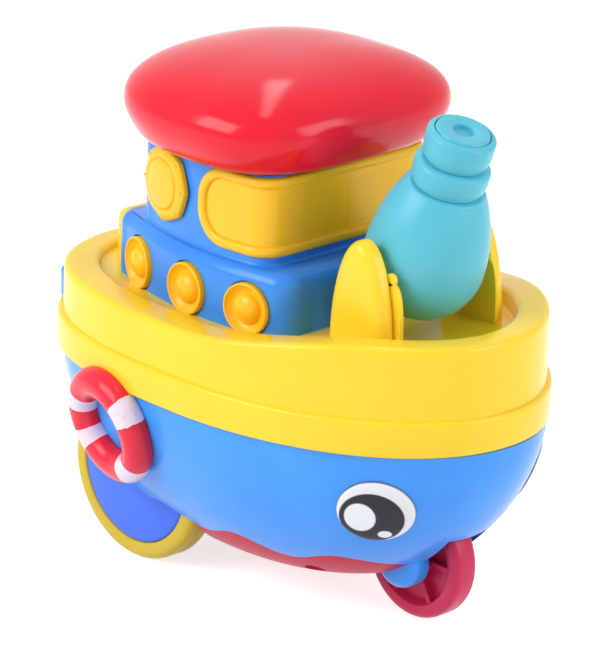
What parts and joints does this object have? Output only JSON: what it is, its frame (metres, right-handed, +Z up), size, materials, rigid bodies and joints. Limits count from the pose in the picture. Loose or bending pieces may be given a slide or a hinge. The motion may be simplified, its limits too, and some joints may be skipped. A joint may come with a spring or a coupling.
{
  "type": "press and go toy boat",
  "caption": "Chunky toy boat on wheels, with a cushion-like roof that is pressed down to drive it, a tiered cabin and a tilting water cannon on the bow.",
  "frame": {"origin": "on the ground, under the middle of the boat's overall box", "axes": "+X towards the bow, +Y to port, +Z up"},
  "size_m": [0.1601, 0.1184, 0.1543],
  "materials": {
    "keel_red": "glossy",
    "hull_blue": "glossy",
    "deck_yellow": "glossy",
    "cabin_blue": "glossy",
    "window_amber": "glossy",
    "roof_red": "glossy",
    "cannon_teal": "satin",
    "ring_red": "glossy, with four white painted bands",
    "eye_white": "glossy, printed",
    "wheel_blue": "satin",
    "tyre_yellow": "satin",
    "wheel_red": "satin",
    "gear_white": "matt",
    "gear_grey": "matt",
    "steel": "brushed"
  },
  "bodies": {
    "hull": {"arch_liner_port": "hull_blue", "arch_liner_starboard": "hull_blue", "big_porthole_port": "window_amber", "big_porthole_starboard": "window_amber", "cabin_port": "cabin_blue", "cabin_screws": "steel", "cabin_starboard": "cabin_blue", "cannon_bracket_port": "deck_yellow", "cannon_bracket_starboard": "deck_yellow", "clutch_shaft": "steel", "deck_tub": "deck_yellow", "drive_shaft": "steel", "eye_port": "eye_white", "eye_starboard": "eye_white", "front_axle": "steel", "front_fork": "hull_blue", "gearbox_bridge": "gear_grey", "gearbox_plate_port": "gear_grey", "gearbox_plate_starboard": "gear_grey", "gearbox_screws": "steel", "gearbox_spacers": "gear_white", "hull_shell": "hull_blue", "idler_shaft": "steel", "keel_pan": "keel_red", "keel_screws": "steel", "lifebuoy_port": "ring_red", "lifebuoy_starboard": "ring_red", "porthole_aft_port": "window_amber", "porthole_aft_starboard": "window_amber", "porthole_fore_port": "window_amber", "porthole_fore_starboard": "window_amber", "porthole_middle_port": "window_amber", "porthole_middle_starboard": "window_amber", "return_spring": "steel", "stern_box": "deck_yellow", "stern_fender": "hull_blue", "window_port": "window_amber", "window_starboard": "window_amber"},
    "roof": {"roof_cap": "roof_red", "push_rod": "gear_white"},
    "drive": {"drive_gear": "gear_white"},
    "idler": {"idler_gear": "gear_grey"},
    "clutch": {"clutch_gear": "gear_white"},
    "rear_wheels": {"rear_axle": "steel", "axle_gear": "gear_grey", "rear_disc_starboard": "wheel_blue", "rear_disc_port": "wheel_blue", "rear_tyre_starboard": "tyre_yellow", "rear_tyre_port": "tyre_yellow"},
    "front_wheel": {"front_wheel": "wheel_red"},
    "cannon": {"cannon_body": "cannon_teal", "cannon_collar": "cannon_teal", "cannon_cap": "cannon_teal", "cannon_pivot": "deck_yellow"}
  },
  "joints": [
    {"name": "roof_press", "type": "slide", "parent": "hull", "child": "roof", "axis": [0, 0, -1], "range_m": [0, 0.008], "stiffness_N_per_m": 450, "springref_m": -0.004, "deforming": ["return_spring"]},
    {"name": "drive_spin", "type": "hinge", "parent": "hull", "child": "drive", "pos_m": [-0.02445, 0, 0.05], "axis": [0, 1, 0], "range_deg": [0, 78]},
    {"name": "idler_spin", "type": "hinge", "parent": "hull", "child": "idler", "pos_m": [-0.014, 0, 0.0339], "axis": [0, 1, 0], "range_deg": [-231, 0]},
    {"name": "clutch_spin", "type": "hinge", "parent": "hull", "child": "clutch", "pos_m": [-0.0236, 0, 0.02], "axis": [0, 1, 0], "range_deg": [0, 575]},
    {"name": "rear_roll", "type": "hinge", "parent": "hull", "child": "rear_wheels", "pos_m": [-0.035, 0, 0.0266], "axis": [0, 1, 0], "continuous": true},
    {"name": "front_roll", "type": "hinge", "parent": "hull", "child": "front_wheel", "pos_m": [0.0484, 0, 0.0183], "axis": [0, 1, 0], "continuous": true},
    {"name": "cannon_tilt", "type": "hinge", "parent": "hull", "child": "cannon", "pos_m": [0.0442, 0, 0.1058], "axis": [0, 1, 0], "range_deg": [-20, 20]}
  ],
  "couplings": [
    {"joint": "drive_spin", "follows": "roof_press", "rad_per_m": 166.67},
    {"joint": "idler_spin", "follows": "roof_press", "rad_per_m": -500},
    {"joint": "clutch_spin", "follows": "roof_press", "rad_per_m": 1250}
  ]
}
